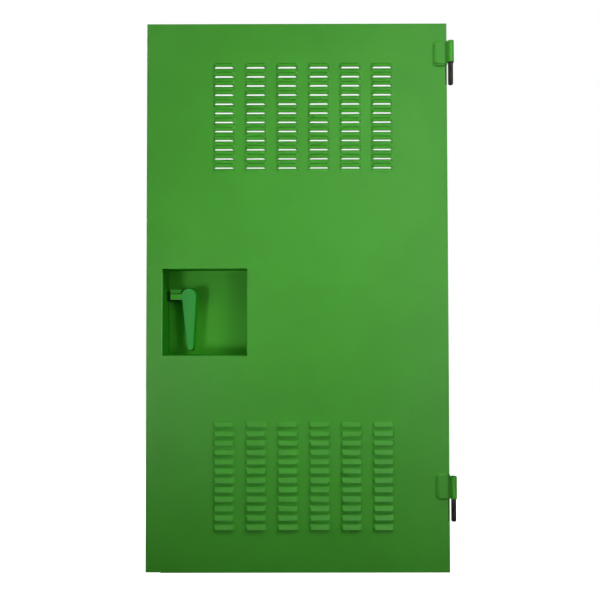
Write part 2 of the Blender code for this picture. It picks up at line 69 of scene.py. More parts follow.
SHEET = 2 * MM
DOOR_LEFT = SKIN_LOW.x
DOOR_RIGHT = SKIN_HIGH.x
DOOR_BOTTOM = SKIN_LOW.z
DOOR_TOP = SKIN_HIGH.z
DOOR_CENTRE = Vector(((DOOR_LEFT + DOOR_RIGHT) / 2, 0, (DOOR_BOTTOM + DOOR_TOP) / 2))
FLANGE_BACK = SKIN_HIGH.y
LIP_WIDTH = 17 * MM
BEND = 2.1 * MM                 # outer radius of the folds
FOLD_STEPS = 5                  # faces round a fold
RELIEF_LENGTH = 27 * MM         # the small step at the lower left corner
RELIEF_HEIGHT = 1.5 * MM
RELIEF_RAMP = 0.1 * MM          # half the width of the step's riser

WINDOW_LEFT = PAN_LOW.x + SHEET
WINDOW_RIGHT = PAN_HIGH.x - SHEET
WINDOW_LOW = PAN_LOW.z + SHEET
WINDOW_HIGH = PAN_HIGH.z - SHEET
PAN_FLOOR = PAN_HIGH.y - SHEET
EDGE_BREAK = 0.4 * MM           # width of the small chamfer round the cut-out
EDGE_DROP = EDGE_BREAK * 0.7    # and its depth

LOUVRE_COLUMNS = 6
LOUVRE_ROWS = 12
COLUMN_PITCH = 57.65 * MM
ROW_PITCH = 16.76 * MM
FIELD_CENTRE = 286 * MM         # from the door's left edge
UPPER_FIELD = 824.6 * MM        # from the door's bottom edge
LOWER_FIELD = 170.1 * MM
LOUVRE_HALF = 19.8 * MM
LOUVRE_FLAT_HALF = 15.6 * MM    # the same without the hood's sloping ends
LOUVRE_HEIGHT = 10.8 * MM
LOUVRE_RISE = -SKIN_LOW.y
LIP_LIFT = 1.1 * MM             # how much higher than its cut the hood's lip ends up

# ---------------------------------------------------------------- materials


def new_material(name):
    made = bpy.data.materials.new(name)
    made.use_nodes = True
    return made, made.node_tree, made.node_tree.nodes["Principled BSDF"]


def add_noise(tree, scale, detail, stretch=(1, 1, 1)):
    """Noise in the piece's own space, finer along an axis where stretch is larger."""
    place = tree.nodes.new("ShaderNodeTexCoord")
    mapping = tree.nodes.new("ShaderNodeMapping")
    mapping.inputs["Scale"].default_value = stretch
    noise = tree.nodes.new("ShaderNodeTexNoise")
    noise.inputs["Scale"].default_value = scale
    noise.inputs["Detail"].default_value = detail
    tree.links.new(place.outputs["Object"], mapping.inputs["Vector"])
    tree.links.new(mapping.outputs["Vector"], noise.inputs["Vector"])
    return noise


def add_ramp(tree, source, stops):
    """A colour ramp from (place, grey or colour) stops."""
    ramp = tree.nodes.new("ShaderNodeValToRGB")
    while len(ramp.color_ramp.elements) < len(stops):
        ramp.color_ramp.elements.new(0.5)
    for element, (place, colour) in zip(ramp.color_ramp.elements, stops):
        element.position = place
        element.color = (*colour, 1) if len(colour) == 3 else (colour[0],) * 3 + (1,)
    tree.links.new(source.outputs["Fac"], ramp.inputs["Fac"])
    return ramp


def add_bump(tree, shader, sources):
    """Chain bumps from (noise, distance, strength)."""
    normal = None
    for source, distance, strength in sources:
        bump = tree.nodes.new("ShaderNodeBump")
        bump.inputs["Distance"].default_value = distance
        bump.inputs["Strength"].default_value = strength
        tree.links.new(source.outputs["Fac"], bump.inputs["Height"])
        if normal:
            tree.links.new(normal.outputs["Normal"], bump.inputs["Normal"])
        normal = bump
    tree.links.new(normal.outputs["Normal"], shader.inputs["Normal"])


def scaled(colour, factor):
    return tuple(channel * factor for channel in colour)


def paint_material(name, colour, roughness=0.42, specular=0.65):
    """Powder coat: orange peel, faint clouding of the colour, uneven gloss."""
    made, tree, shader = new_material(name)
    cloud = add_noise(tree, scale=9, detail=3)
    shade = add_ramp(tree, cloud, [(0.3, scaled(colour, 0.95)), (0.7, scaled(colour, 1.05))])
    tree.links.new(shade.outputs["Color"], shader.inputs["Base Color"])
    gloss = add_noise(tree, scale=24, detail=3)
    gloss_ramp = add_ramp(tree, gloss, [(0.3, (roughness - 0.04,)), (0.7, (roughness + 0.05,))])
    tree.links.new(gloss_ramp.outputs["Color"], shader.inputs["Roughness"])
    peel = add_noise(tree, scale=420, detail=2)
    pits = add_noise(tree, scale=1500, detail=1)
    add_bump(tree, shader, [(peel, 0.00016, 0.35), (pits, 0.00005, 0.3)])
    shader.inputs["Specular IOR Level"].default_value = specular
    return made


def steel_material(name, colour, roughness, metallic, stretch):
    """Drawn or turned steel with fine lines and smudged oil."""
    made, tree, shader = new_material(name)
    smudge = add_noise(tree, scale=55, detail=4)
    shade = add_ramp(tree, smudge, [(0.3, scaled(colour, 0.7)), (0.75, scaled(colour, 1.5))])
    tree.links.new(shade.outputs["Color"], shader.inputs["Base Color"])
    gloss = add_ramp(tree, smudge, [(0.3, (roughness - 0.08,)), (0.75, (roughness + 0.12,))])
    tree.links.new(gloss.outputs["Color"], shader.inputs["Roughness"])
    lines = add_noise(tree, scale=260, detail=3, stretch=stretch)
    add_bump(tree, shader, [(lines, 0.00008, 0.35)])
    shader.inputs["Metallic"].default_value = metallic
    return made


def rubber_material(name, colour):
    """Closed-cell foam: matt, with small open cells on its skin."""
    made, tree, shader = new_material(name)
    cells = add_noise(tree, scale=700, detail=3)
    shade = add_ramp(tree, cells, [(0.35, scaled(colour, 0.6)), (0.65, scaled(colour, 1.4))])
    tree.links.new(shade.outputs["Color"], shader.inputs["Base Color"])
    add_bump(tree, shader, [(cells, 0.0003, 0.6)])
    shader.inputs["Roughness"].default_value = 0.9
    return made


# The numbers after a paint's colour are its roughness and its specular level.
GREEN = (0.094, 0.58, 0.041)
PAINT = paint_material("green_powder_coat", GREEN)
# The pan's paint: less gloss, and a more saturated green painted in for the light bounced inside the recess.
PAN_PAINT = paint_material("green_powder_coat_pan", (0.085, 0.575, 0.026), 0.45, 0.45)
# A bluer green on the lever: a painted reflection of cool light on its face.
LEVER_REFLECTION_PAINT = paint_material("green_powder_coat_lever", (0.052, 0.54, 0.072), 0.45, 0.4)
# A darker, more saturated green on the lever's sides: painted shade.
LEVER_SIDE = paint_material("green_powder_coat_lever_side", (0.014, 0.47, 0.008), 0.5, 0.2)
# Dark green painted as shade: the crease above each upper hood, the pan's left corner, the lever's underside
# and the guide's slit.
PAINTED_SHADE = paint_material("green_powder_coat_painted_shade", scaled(GREEN, 0.45), 0.6, 0.3)
# A paler green under each upper cut: painted light over the shadow of the lip above.
LIT_STRIP_PAINT = paint_material("green_powder_coat_painted_light", scaled(GREEN, 1.3))
# A darker green on the leaf roots and barrel welds: painted shade in the valley by each barrel.
ROOT_SHADE_PAINT = paint_material("green_powder_coat_root_painted_shade", scaled(GREEN, 0.7), 0.5, 0.4)
# A lighter green on the barrels, painted light, with a lower roughness.
BARREL_LIT_PAINT = paint_material("green_powder_coat_barrel_painted_light", scaled(GREEN, 1.16), 0.3, 0.6)
# A darker green on the pan's walls: painted shade.
PAN_SHADE = paint_material("green_powder_coat_pan_side", (0.024, 0.41, 0.005), 0.5, 0.3)
# Near-black green on the door's edge beside the pins: a painted shadow of the pins.
PIN_SHADOW_PAINT = paint_material("green_powder_coat_painted_pin_shadow", scaled(GREEN, 0.2), 0.7, 0.1)
# A pale green along the cut-out's left edge: a painted highlight.
HIGHLIGHT_PAINT = paint_material("green_powder_coat_painted_highlight", (0.30, 0.74, 0.24), 0.4, 0.5)
# A lighter green on the bolt guide: painted light on its bars.
GUIDE_LIT_PAINT = paint_material("green_powder_coat_guide_painted_light", (0.16, 0.95, 0.08))
# Roughness, metallic share, and how much finer the drawn lines are along each axis.
PIN_STEEL = steel_material("bare_pin_steel", (0.075, 0.062, 0.056), 0.36, 0.6, (0.2, 0.2, 6))
# Dark steel for the bolt and crank pin, tinted green as painted shade under the guide's bars; also the
# painted shade on the barrels' lower ends.
BOLT_STEEL_AND_SHADE = steel_material("bolt_steel_and_painted_shade", (0.03, 0.1, 0.024), 0.5, 0.3, (0.4, 3, 3))
ZINC = steel_material("zinc_plate", (0.5, 0.5, 0.52), 0.34, 1.0, (3, 3, 3))
BRONZE = steel_material("bearing_bronze", (0.42, 0.26, 0.1), 0.4, 1.0, (3, 0.4, 3))
FOAM = rubber_material("foam_rubber", (0.02, 0.02, 0.021))

# ------------------------------------------------------------------ helpers


def round_edges(piece, width, angle):
    """Small rounded edges where faces meet at more than the angle."""
    edges = piece.modifiers.new("edges", "BEVEL")
    edges.width = width
    edges.segments = 3
    edges.limit_method = "ANGLE"
    edges.angle_limit = math.radians(angle)


def weight_normals(piece):
    """Let the larger faces set the shading at their edges, so that flat faces look flat."""
    weighted = piece.modifiers.new("normals", "WEIGHTED_NORMAL")
    weighted.keep_sharp = True


def soften(piece, width=0.0, angle=38):
    """Smooth shading with crisp corners, and small rounded edges where a width is given."""
    piece.data.shade_smooth()
    piece.data.set_sharp_from_angle(angle=math.radians(angle))
    if width:
        round_edges(piece, width, angle)
    weight_normals(piece)


def object_from(name, bm, closed):
    """Turn the bmesh into an object in the scene; a closed one gets its normals pointing outwards."""
    if closed:
        bmesh.ops.recalc_face_normals(bm, faces=bm.faces)
    mesh = bpy.data.meshes.new(name)
    bm.to_mesh(mesh)
    bm.free()
    made = bpy.data.objects.new(name, mesh)
    bpy.context.scene.collection.objects.link(made)
    return made


def piece_from(name, bm, look, body, replaced=(), closed=True):
    """Make the bmesh a piece that rides on a body and stands for CAD nodes."""
    made = object_from(name, bm, closed)
    made.data.materials.append(look)
    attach(made, body)
    if replaced:
        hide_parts(*replaced)
    return made


def thicken(piece, even):
    """Give a surface the sheet's thickness, with plain paint behind and on its cut edges."""
    sheet = piece.modifiers.new("sheet", "SOLIDIFY")
    sheet.thickness = SHEET
    sheet.offset = -1
    sheet.use_even_offset = even
    sheet.material_offset = -len(piece.data.materials)
    sheet.material_offset_rim = -len(piece.data.materials)


def blend_step(low, high, value):
    """Smooth 0 to 1 as value goes from low to high."""
    share = min(1.0, max(0.0, (value - low) / (high - low)))
    return share * share * (3 - 2 * share)


def apply_modifiers(piece):
    """Replace the piece's mesh with the evaluated one."""
    bpy.context.view_layer.update()
    graph = bpy.context.evaluated_depsgraph_get()
    mesh = bpy.data.meshes.new_from_object(piece.evaluated_get(graph))
    piece.modifiers.clear()
    piece.data = mesh


def drill(piece, cutters):
    """Cut closed bmeshes out of a piece and make the result its mesh."""
    tools = []
    for bm in cutters:
        tool = object_from("cutter", bm, True)
        hole = piece.modifiers.new("hole", "BOOLEAN")
        hole.object = tool
        hole.operation = "DIFFERENCE"
        hole.solver = "EXACT"
        tools.append(tool)
    apply_modifiers(piece)
    for tool in tools:
        bpy.data.objects.remove(tool)


# ------------------------------------------------------------- shared forms


def circle_points(radius, count):
    turn = 2 * math.pi / count
    return [(radius * math.cos(k * turn), radius * math.sin(k * turn)) for k in range(count)]


def arc_points(centre, radius, start, end, count):
    """Points on an arc between two angles in degrees, both ends included."""
    angles = [math.radians(start + (end - start) * k / count) for k in range(count + 1)]
    return [(centre[0] + radius * math.cos(a), centre[1] + radius * math.sin(a)) for a in angles]


def bridge(bm, first, second):
    """A band of faces between two rings of vertices."""
    for k in range(len(first)):
        n = (k + 1) % len(first)
        bm.faces.new((first[k], first[n], second[n], second[k]))


def loft(bm, rings, hollow=False):
    """Bands between rings in turn, with caps on both ends; a hollow one joins its last ring to its first."""
    for first, second in zip(rings, rings[1:]):
        bridge(bm, first, second)
    if hollow:
        bridge(bm, rings[-1], rings[0])
    else:
        bm.faces.new(rings[0])
        bm.faces.new(rings[-1])


def prism(points, low, high):
    """A closed bmesh: an outline in X and Z carried from one Y to another."""
    bm = bmesh.new()
    loft(bm, [[bm.verts.new((x, y, z)) for x, z in points] for y in (low, high)])
    return bm


def rectangle(left, right, bottom, top):
    return [(left, bottom), (right, bottom), (right, top), (left, top)]


BEAD_STEP = 0.42 * MM
BEAD_RIPPLE = 2.1 * MM


def bead_size(run, length, radius):
    """The bead's radius at a distance from its start: rippled, and tapering at both ends."""
    from_end = min(run, length - run)
    swell = math.sqrt(min(1.0, (from_end + 0.1 * MM) / (1.6 * radius)))
    phase = (run / BEAD_RIPPLE + 0.12 * math.sin(run * 900)) % 1.0
    return radius * swell * (1 + 0.10 * (phase ** 2 - 0.4) + 0.05 * math.sin(run * 640))


def weld_bead(name, start, end, radius, look=PAINT):
    """A straight rippled bead between two places."""
    start = Vector(start)
    end = Vector(end)
    length = (end - start).length
    ahead = (end - start).normalized()
    side = ahead.orthogonal().normalized()
    if abs(side.y) > 0.9:
        side = ahead.cross(side)
    up = ahead.cross(side)
    count = round(length / BEAD_STEP)
    bm = bmesh.new()
    rings = []
    for k in range(count + 1):
        spot = start.lerp(end, k / count)
        size = bead_size(length * k / count, length, radius)
        rings.append([bm.verts.new(spot + side * a + up * b) for a, b in circle_points(size, 12)])
    loft(bm, rings)
    bead = piece_from(name, bm, look, "door")
    bead.data.shade_smooth()


# --------------------------------------------------------------- door panel

TINY = 1e-6
# Grid lines of a louvre in millimetres, from its middle to either side and from its cut upwards.
SIDEWAYS = (15.6, 16.8, 17.9, 18.9, 19.8, 20.8)
UPWARDS = (-5.6, -1.1, 0.0, 0.4, 1.0, 2.4, 4.2, 6.0, 7.6, 8.5, 9.0, 9.4, 9.8, 10.3, 10.9, 11.6)
# Millimetres above the cut, and the share of the hood's rise there.
HOOD_PROFILE = ((0.4, 1.0), (8.5, 0.41), (9.0, 0.36), (9.4, 0.22), (9.8, 0.08), (10.3, 0.0))

# Panel paints in order: plain; painted shade along the tops of the upper hoods; painted light under the
# upper cuts; a painted highlight on the cut-out's left edge; a painted shadow beside the pins.
PANEL_PAINTS = (PAINT, PAINTED_SHADE, LIT_STRIP_PAINT, HIGHLIGHT_PAINT, PIN_SHADOW_PAINT)
PLAIN, CREASE_SHADE, LIT_STRIP, HIGHLIGHT, PIN_SHADOW = range(5)
CREASE_SHADE_BAND = (7.6 * MM, 9.8 * MM)       # painted shade above a cut, along the top of an upper hood
LIT_STRIP_BAND = (-5.6 * MM, 0.0)          # painted light below an upper cut, over the shadow of the lip above
HIGHLIGHT_LEFT = WINDOW_LEFT - 1.3 * MM      # a painted highlight along the cut-out's left edge
HIGHLIGHT_TOP = WINDOW_HIGH - 8 * MM
PIN_SHADOW_LEFT = DOOR_RIGHT - BEND - 0.9 * MM


def nearest(value, places):
    return min(places, key=lambda place: abs(place - value))


def louvre_columns():
    first = DOOR_LEFT + FIELD_CENTRE - (LOUVRE_COLUMNS - 1) / 2 * COLUMN_PITCH
    return [first + column * COLUMN_PITCH for column in range(LOUVRE_COLUMNS)]


def louvre_cuts(field):
    """Heights of a field's cuts; each louvre is open along the cut and rises above it."""
    first = DOOR_BOTTOM + field - (LOUVRE_ROWS - 1) / 2 * ROW_PITCH
    return [first + row * ROW_PITCH for row in range(LOUVRE_ROWS)]


COLUMNS = louvre_columns()
UPPER_CUTS = louvre_cuts(UPPER_FIELD)
CUTS = louvre_cuts(LOWER_FIELD) + UPPER_CUTS


def hood_rise(above):
    """Share of the hood's full rise at a height above its cut, from the profile's points."""
    for (low, at_low), (high, at_high) in zip(HOOD_PROFILE, HOOD_PROFILE[1:]):
        if above <= high * MM:
            share = max(0.0, (above / MM - low) / (high - low))
            return at_low + (at_high - at_low) * share
    return 0.0


def hood_point(x, z, column, cut):
    """Where a point of the flat sheet above a cut ends up after pressing."""
    along = blend_step(LOUVRE_HALF, LOUVRE_FLAT_HALF, abs(x - column))
    above = z - cut
    lift = LIP_LIFT * along * (1 - above / LOUVRE_HEIGHT) ** 2
    return Vector((x, -LOUVRE_RISE * along * hood_rise(above), z + lift))


def front_point(x, z, on_lip):
    """Where a point of the flat sheet ends up; on_lip tells a hood's lip from the sheet below its cut."""
    column = nearest(x, COLUMNS)
    cut = max([c for c in CUTS if c <= z + TINY], default=None)
    if cut is not None and abs(x - column) < LOUVRE_HALF and z - cut < LOUVRE_HEIGHT:
        if on_lip or z - cut > TINY:
            return hood_point(x, z, column, cut)
    on_edge_x = WINDOW_LEFT - TINY <= x <= WINDOW_RIGHT + TINY
    on_edge_z = WINDOW_LOW - TINY <= z <= WINDOW_HIGH + TINY
    return Vector((x, EDGE_DROP if on_edge_x and on_edge_z else 0, z))


def in_pin_shadow(x, z):
    """Whether a place is on the edge beside the bare hinge pins, where their shadow is painted."""
    return x > PIN_SHADOW_LEFT and any(low < z < high for low, high in PIN_SPANS)


def in_window(x, z):
    return WINDOW_LEFT < x < WINDOW_RIGHT and WINDOW_LOW < z < WINDOW_HIGH


def panel_look(x, z):
    """The number of the panel's paint at a place on its front."""
    # A painted shadow of the pins on the door's edge.
    if in_pin_shadow(x, z):
        return PIN_SHADOW
    # A painted highlight along the cut-out's left edge.
    if HIGHLIGHT_LEFT < x < WINDOW_LEFT and WINDOW_LOW < z < HIGHLIGHT_TOP:
        return HIGHLIGHT
    if abs(x - nearest(x, COLUMNS)) > LOUVRE_FLAT_HALF:
        return PLAIN
    # Painted shade along the top of each upper hood, painted light under each upper cut.
    for look, (low, high) in ((CREASE_SHADE, CREASE_SHADE_BAND), (LIT_STRIP, LIT_STRIP_BAND)):
        if any(low < z - cut < high for cut in UPPER_CUTS):
            return look
    return PLAIN


def panel_lines():
    """The front's grid: lines where it bends, opens or changes its paint."""
    relief = DOOR_LEFT + RELIEF_LENGTH
    xs = [DOOR_LEFT + BEND, DOOR_RIGHT - BEND, relief - RELIEF_RAMP, relief + RELIEF_RAMP]
    xs += [WINDOW_LEFT - EDGE_BREAK, WINDOW_LEFT, WINDOW_RIGHT, WINDOW_RIGHT + EDGE_BREAK]
    xs += [HIGHLIGHT_LEFT, PIN_SHADOW_LEFT]
    xs += [column + side * step * MM for column in COLUMNS for side in (-1, 1) for step in SIDEWAYS]
    zs = [DOOR_BOTTOM + BEND, DOOR_TOP - BEND]
    zs += [WINDOW_LOW - EDGE_BREAK, WINDOW_LOW, WINDOW_HIGH, WINDOW_HIGH + EDGE_BREAK]
    zs += [HIGHLIGHT_TOP] + [end for span in PIN_SPANS for end in span]
    zs += [cut + step * MM for cut in CUTS for step in UPWARDS]
    return sorted(xs), sorted(zs)


def outer_loop(last_i, last_j):
    """The grid's outer places, each with its outward direction, anticlockwise from the lower left."""
    loop = [((i, 0), (0, -1)) for i in range(1, last_i)] + [((last_i, 0), (1, -1))]
    loop += [((last_i, j), (1, 0)) for j in range(1, last_j)] + [((last_i, last_j), (1, 1))]
    loop += [((i, last_j), (0, 1)) for i in range(last_i - 1, 0, -1)] + [((0, last_j), (-1, 1))]
    loop += [((0, j), (-1, 0)) for j in range(last_j - 1, 0, -1)] + [((0, 0), (-1, -1))]
    return loop


def panel_front(bm):
    """The front with its louvres and cut-out; returns its outer vertices with their directions."""
    xs, zs = panel_lines()
    cut_rows = {j for j, z in enumerate(zs) if abs(z - nearest(z, CUTS)) < TINY}
    slit_columns = {i for i, x in enumerate(xs) if abs(x - nearest(x, COLUMNS)) < LOUVRE_HALF - TINY}
    verts = {}

    def vert(i, j, above):
        """The vertex of a face above or below it; along a slit there are two."""
        on_lip = above and j in cut_rows and i in slit_columns
        if (i, j, on_lip) not in verts:
            verts[i, j, on_lip] = bm.verts.new(front_point(xs[i], zs[j], on_lip))
        return verts[i, j, on_lip]

    for i in range(len(xs) - 1):
        for j in range(len(zs) - 1):
            x = (xs[i] + xs[i + 1]) / 2
            z = (zs[j] + zs[j + 1]) / 2
            if not in_window(x, z):
                lower = (vert(i, j, True), vert(i + 1, j, True))
                upper = (vert(i + 1, j + 1, False), vert(i, j + 1, False))
                bm.faces.new(lower + upper).material_index = panel_look(x, z)
    loop = outer_loop(len(xs) - 1, len(zs) - 1)
    return [(verts[i, j, False], direction) for (i, j), direction in loop]


def fold_profile():
    """(outwards, backwards) steps from the flat front round the flange to the lip's edge."""
    turn = [math.pi / 2 * step / FOLD_STEPS for step in range(1, FOLD_STEPS + 1)]
    first = [(BEND * math.sin(a), BEND * (1 - math.cos(a))) for a in turn]
    last = [(BEND * math.cos(a), FLANGE_BACK - BEND + BEND * math.sin(a)) for a in turn]
    return first + [(BEND, FLANGE_BACK - BEND)] + last + [(BEND - LIP_WIDTH, FLANGE_BACK)]


def add_folds(bm, loop):
    """Sweep the fold round the panel, mitred at its corners."""
    previous = [vert for vert, _ in loop]
    for outwards, backwards in fold_profile():
        ring = []
        for vert, (dx, dz) in loop:
            ring.append(bm.verts.new(vert.co + Vector((dx * outwards, backwards, dz * outwards))))
        bridge(bm, ring, previous)
        previous = ring


def paint_pin_shadow_folds(bm):
    """Carry the painted shadow beside the pins round the front bend."""
    for face in bm.faces:
        centre = face.calc_center_median()
        if 0 < centre.y < BEND and in_pin_shadow(centre.x, centre.z):
            face.material_index = PIN_SHADOW


def make_panel():
    """The pressed and folded door, with a small step at its lower left corner."""
    bm = bmesh.new()
    add_folds(bm, panel_front(bm))
    paint_pin_shadow_folds(bm)
    for vert in bm.verts:
        if vert.co.x < DOOR_LEFT + RELIEF_LENGTH:
            vert.co.z = max(vert.co.z, DOOR_BOTTOM + RELIEF_HEIGHT)
    panel = piece_from("door_panel", bm, PAINT, "door", ["door_skin"], closed=False)
    for look in PANEL_PAINTS[1:]:
        panel.data.materials.append(look)
    thicken(panel, False)
    soften(panel, angle=42)


make_panel()

# ------------------------------------------------------------------- the pan

PAN_FOLD = 1.2 * MM             # inner radius
BOLT_HOLE_HALF = 12 * MM
BUSH_HOLE = 6.2 * MM            # radius
SEAM_RADIUS = 1.3 * MM
STITCH_RADIUS = 2.0 * MM
STITCH_HALF = 11 * MM


def pan_ring(bm, outwards, y):
    """Four vertices at the pan's corners; outwards is counted from the cut-out's edge."""
    corners = rectangle(WINDOW_LEFT - outwards, WINDOW_RIGHT + outwards,
                        WINDOW_LOW - outwards, WINDOW_HIGH + outwards)
    return [bm.verts.new((x, y, z)) for x, z in corners]


def pan_surface():
    """Floor, folds and walls; material 1, a painted shade, on the walls and 2, a darker painted shade, on
    the left fold.
    """
    turns = [math.pi / 2 * step / FOLD_STEPS for step in range(FOLD_STEPS + 1)]
    bm = bmesh.new()
    rings = [pan_ring(bm, PAN_FOLD * (math.sin(a) - 1), PAN_FLOOR - PAN_FOLD * (1 - math.cos(a)))
             for a in turns]
    rings.append(pan_ring(bm, 0, SHEET + 0.05 * MM))
    bm.faces.new(rings[0])
    for low, high in zip(rings, rings[1:]):
        for k in range(4):
            n = (k + 1) % 4
            face = bm.faces.new((low[n], low[k], high[k], high[n]))
            face.material_index = 2 if k == 3 else 0
            if high is rings[-1]:
                face.material_index = 1
    return bm


def make_pan():
    """The recess: folded sheet welded behind the cut-out, with holes for the bolt and the bush."""
    pan = piece_from("latch_pan", pan_surface(), PAN_PAINT, "door", ["latch_pocket"],
                     closed=False)
    # Painted shade: a darker green on the walls and a darker one still on the left fold.
    pan.data.materials.append(PAN_SHADE)
    pan.data.materials.append(PAINTED_SHADE)
    thicken(pan, True)
    slot = rectangle(WINDOW_LEFT - 5 * MM, WINDOW_LEFT + 3 * MM,
                     PIVOT.z - BOLT_HOLE_HALF, PIVOT.z + BOLT_HOLE_HALF)
    bolt_hole = prism(slot, BOLT_LOW.y - 4 * MM, BOLT_HIGH.y + 5 * MM)
    circle = [(PIVOT.x + a, PIVOT.z + b) for a, b in circle_points(BUSH_HOLE, 48)]
    bush_hole = prism(circle, PAN_FLOOR - 2 * MM, PAN_HIGH.y + 4 * MM)
    drill(pan, [bolt_hole, bush_hole])
    soften(pan, angle=30)


def make_pan_seams():
    """Beads up the corners outside the pan."""
    inset = 0.2 * MM
    for height, z in (("low", PAN_LOW.z + inset), ("high", PAN_HIGH.z - inset)):
        for side, x in (("left", PAN_LOW.x + inset), ("right", PAN_HIGH.x - inset)):
            start = (x, SHEET + 1 * MM, z)
            weld_bead("pan_seam_" + height + "_" + side, start, (x, PAN_HIGH.y - 3 * MM, z), SEAM_RADIUS)


def make_pan_stitches():
    """Three short beads along each side of the pan, where it meets the sheet."""
    y = SHEET + 0.4 * MM
    for number, share in enumerate((0.16, 0.5, 0.84)):
        x = PAN_LOW.x + (PAN_HIGH.x - PAN_LOW.x) * share
        z = PAN_LOW.z + (PAN_HIGH.z - PAN_LOW.z) * share
        for side, edge in (("low", PAN_LOW.z), ("high", PAN_HIGH.z)):
            name = "pan_stitch_" + side + "_" + str(number)
            weld_bead(name, (x - STITCH_HALF, y, edge), (x + STITCH_HALF, y, edge), STITCH_RADIUS)
        for side, edge in (("left", PAN_LOW.x), ("right", PAN_HIGH.x)):
            name = "pan_stitch_" + side + "_" + str(number)
            weld_bead(name, (edge, y, z - STITCH_HALF), (edge, y, z + STITCH_HALF), STITCH_RADIUS)


make_pan()
make_pan_seams()
make_pan_stitches()

# ------------------------------------------------------------------ the lever

HEAD_RADIUS = 13.3 * MM
TIP_RADIUS = 5.4 * MM
LEVER_REACH = 94.6 * MM         # pivot to the tip's centre
LEVER_DRAFT = 2.5 * MM          # how much wider the back is than the front, on each side
LEVER_LEAN = math.radians(1.4)
LEVER_TIP_SETBACK = 4 * MM
LEVER_ROUND = 0.7 * MM          # radius round the front face
LEVER_BREAK = 1.2 * MM          # chamfer round the back face
LEVER_SIDE_STEPS = 14


def between(start, end, steps):
    """The points inside a straight line that is cut into steps."""
    return [tuple(Vector(start).lerp(Vector(end), k / steps)) for k in range(1, steps)]


def lever_outline(extra):
    """Head, left side, tip and right side, with the pivot at 0, 0."""
    taper = math.degrees(math.asin((HEAD_RADIUS - TIP_RADIUS) / LEVER_REACH))
    head = arc_points((0, 0), HEAD_RADIUS + extra, -taper, 180 + taper, 40)
    tip = arc_points((0, -LEVER_REACH), TIP_RADIUS + extra, 180 + taper, 360 - taper, 24)
    left = between(head[-1], tip[0], LEVER_SIDE_STEPS)
    right = between(tip[-1], head[0], LEVER_SIDE_STEPS)
    return head + left + tip + right


def lever_sections():
    """(outline offset, depth from the front, share of the tip's setback) from front to back."""
    depth = LEVER_HIGH.y - LEVER_LOW.y
    sections = []
    for k in range(7):
        angle = math.pi / 2 * k / 6
        sections.append((-LEVER_ROUND * (1 - math.sin(angle)), LEVER_ROUND * (1 - math.cos(angle)), 1.0))
    sections.append((LEVER_DRAFT * 0.5, depth * 0.5, 0.5))
    for out, back in ((0, LEVER_BREAK), (LEVER_BREAK / 3, LEVER_BREAK / 3), (LEVER_BREAK, 0)):
        sections.append((LEVER_DRAFT - out, depth - back, 0.0))
    return sections


def make_lever():
    """Cast lever: round head, tapering blade set back towards its tip, drafted sides, rounded front."""
    bm = bmesh.new()
    rings = []
    for extra, depth, share in lever_sections():
        ring = []
        for x, z in lever_outline(extra):
            along = min(1.0, max(0.0, -z / (LEVER_REACH + TIP_RADIUS)))
            ring.append(bm.verts.new((x, LEVER_LOW.y + depth + LEVER_TIP_SETBACK * along * share, z)))
        rings.append(ring)
    loft(bm, rings)
    lean = Matrix.Translation((PIVOT.x, 0, PIVOT.z)) @ Matrix.Rotation(-LEVER_LEAN, 4, "Y")
    bmesh.ops.transform(bm, matrix=lean, verts=bm.verts)
    # The lever's face in the bluer green: a painted reflection.
    lever = piece_from("lever_casting", bm, LEVER_REFLECTION_PAINT, "lever", ["latch_lever"])
    lever.data.materials.append(PAINTED_SHADE)
    lever.data.materials.append(LEVER_SIDE)
    # Painted shade: faces turned downwards in the darkest green, the other sides in the darker green.
    for face in lever.data.polygons:
        if abs(face.normal.y) < 0.6:
            face.material_index = 1 if face.normal.z < -0.6 else 2
    soften(lever, angle=50)


make_lever()

# ------------------------------------------------------------ spindle and nut

THREAD_PITCH = 1.25 * MM
THREAD_DEPTH = 0.55 * MM
THREAD_START = NUT_LOW.y - 1.5 * MM
SPINDLE_SIDES = 36
SPINDLE_CHAMFER = 0.9 * MM
NUT_SIDES = 96
NUT_BORE = 4.1 * MM             # radius
NUT_SINK = 0.6 * MM             # countersink
NUT_FACE = 0.97                 # the flat end's radius as a share of the distance to a flat
NUT_SLOPE = math.tan(math.radians(30))


def pivot_ring(bm, count, shape):
    """Vertices round the lever's axis; shape gives the radius and the place in Y at an angle."""
    ring = []
    for k in range(count):
        angle = 2 * math.pi * k / count
        radius, y = shape(angle)
        spot = (PIVOT.x + radius * math.cos(angle), y, PIVOT.z + radius * math.sin(angle))
        ring.append(bm.verts.new(spot))
    return ring


def thread_radius(radius, y, angle):
    """The spindle's radius, with a V thread from THREAD_START on."""
    if y <= THREAD_START:
        return radius
    wave = ((y - THREAD_START) / THREAD_PITCH - angle / (2 * math.pi)) % 1.0
    return radius - THREAD_DEPTH * abs(2 * wave - 1)


def make_spindle():
    """A plain shank with a rolled thread where the nut sits, and a chamfered end."""
    radius = (SPINDLE_HIGH.x - SPINDLE_LOW.x) / 2
    places = [SPINDLE_LOW.y, THREAD_START]
    while places[-1] < SPINDLE_HIGH.y - SPINDLE_CHAMFER:
        places.append(places[-1] + THREAD_PITCH / 8)
    bm = bmesh.new()
    rings = [pivot_ring(bm, SPINDLE_SIDES, lambda angle: (thread_radius(radius, y, angle), y))
             for y in places]
    end = (radius - SPINDLE_CHAMFER, SPINDLE_HIGH.y)
    rings.append(pivot_ring(bm, SPINDLE_SIDES, lambda angle: end))
    loft(bm, rings)
    soften(piece_from("threaded_spindle", bm, ZINC, "lever", ["lever_spindle"]), angle=50)


